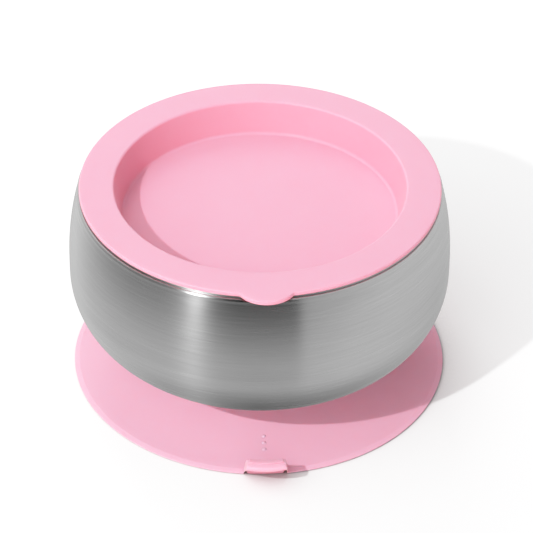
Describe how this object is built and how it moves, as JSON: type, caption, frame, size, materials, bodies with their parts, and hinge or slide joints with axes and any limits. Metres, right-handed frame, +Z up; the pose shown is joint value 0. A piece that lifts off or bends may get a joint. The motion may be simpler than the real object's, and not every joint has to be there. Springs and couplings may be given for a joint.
{
  "type": "suction bowl",
  "caption": "Baby's double-walled steel bowl with a recessed soft silicone lid, on a removable silicone suction base with a release tab.",
  "frame": {"origin": "on the table, on the bowl's axis: the middle of the flat ring with which the suction base seals", "axes": "+Z up along the bowl's axis; both pull tabs point towards -Y; +X to the right, seen from the tabs"},
  "size_m": [0.127, 0.1351, 0.072],
  "materials": {
    "silicone": "smooth matte food-grade silicone",
    "steel": "brushed round the bowl, satin"
  },
  "bodies": {
    "base": {"suction_base": "silicone"},
    "base_tab": {"release_tab": "silicone"},
    "bowl": {"outer_shell": "steel", "inner_bowl": "steel", "base_plate": "steel", "foot_ring": "steel"},
    "lid": {"lid": "silicone"},
    "lid_pull": {"lid_tab": "silicone"}
  },
  "joints": [
    {"name": "release_tab_bend", "type": "hinge", "parent": "base", "child": "base_tab", "pos_m": [0, -0.057, 0.0012], "axis": [-1, 0, 0], "range_deg": [0, 45], "stiffness_Nm_per_rad": 0.05},
    {"name": "bowl_lift", "type": "slide", "parent": "base", "child": "bowl", "axis": [0, 0, 1], "range_m": [0, 0.04]},
    {"name": "lid_lift", "type": "slide", "parent": "bowl", "child": "lid", "axis": [0, 0, 1], "range_m": [0, 0.05]},
    {"name": "lid_tab_bend", "type": "hinge", "parent": "lid", "child": "lid_pull", "pos_m": [0, -0.0584, 0.07205], "axis": [-1, 0, 0], "range_deg": [0, 50], "stiffness_Nm_per_rad": 0.02}
  ]
}
